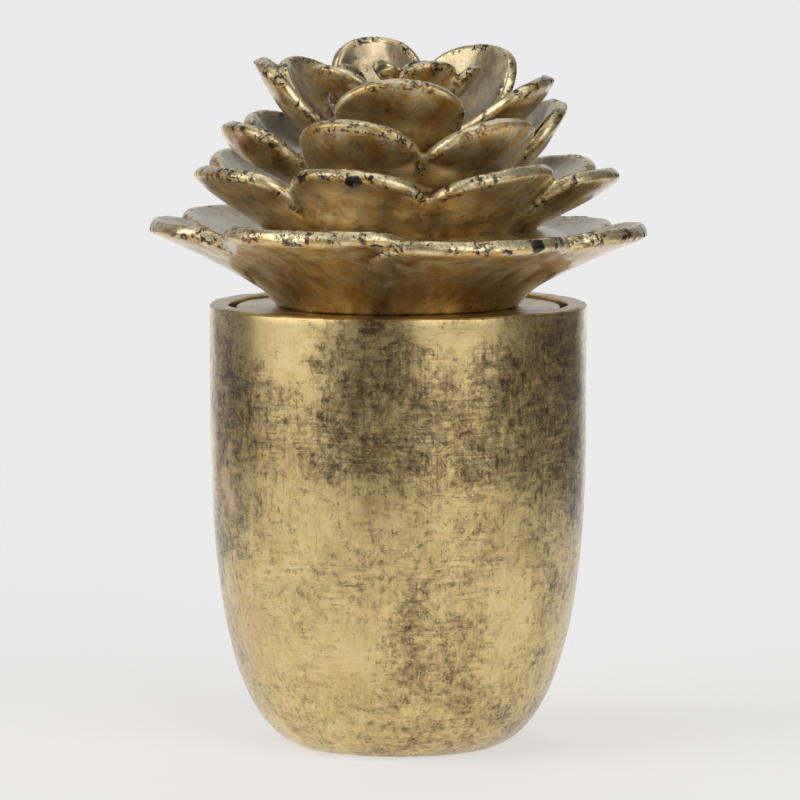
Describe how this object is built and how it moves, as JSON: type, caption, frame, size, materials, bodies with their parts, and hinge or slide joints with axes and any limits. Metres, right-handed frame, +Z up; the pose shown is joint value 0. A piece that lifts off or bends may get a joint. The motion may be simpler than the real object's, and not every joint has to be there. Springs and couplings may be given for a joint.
{
  "type": "lidded pot",
  "caption": "Round-bottomed metal-leafed pot with a drop-in lid that carries a succulent rosette of stacked cast petal whorls.",
  "frame": {"origin": "centre of the face it stands on, on the pot's axis", "axes": "+Z up along the pot's axis, -Y towards the viewer's side, +X to the viewer's right"},
  "size_m": [0.1316, 0.1259, 0.1873],
  "materials": {
    "pot_leaf": "satin",
    "lid_leaf": "gloss",
    "rosette_leaf": "gloss",
    "felt": "matte",
    "silicone": "satin",
    "steel": "satin"
  },
  "bodies": {
    "pot": {"pot_body": "pot_leaf", "foot_pad": "felt"},
    "seal": {"lid_seal": "silicone"},
    "lid": {"lid_plate": "lid_leaf", "base_whorl": "rosette_leaf", "second_whorl": "rosette_leaf", "third_whorl": "rosette_leaf", "fourth_whorl": "rosette_leaf", "inner_whorl": "rosette_leaf", "centre_bud": "rosette_leaf", "centre_stud": "steel", "clamp_washer": "steel", "lock_washer": "steel", "clamp_nut": "steel"}
  },
  "joints": [
    {"name": "lid_lift", "type": "slide", "parent": "pot", "child": "seal", "axis": [0, 0, 1], "range_m": [0, 0.15]},
    {"name": "lid_turn", "type": "hinge", "parent": "seal", "child": "lid", "pos_m": [0, 0, 0.1168], "axis": [0, 0, 1], "continuous": true}
  ]
}
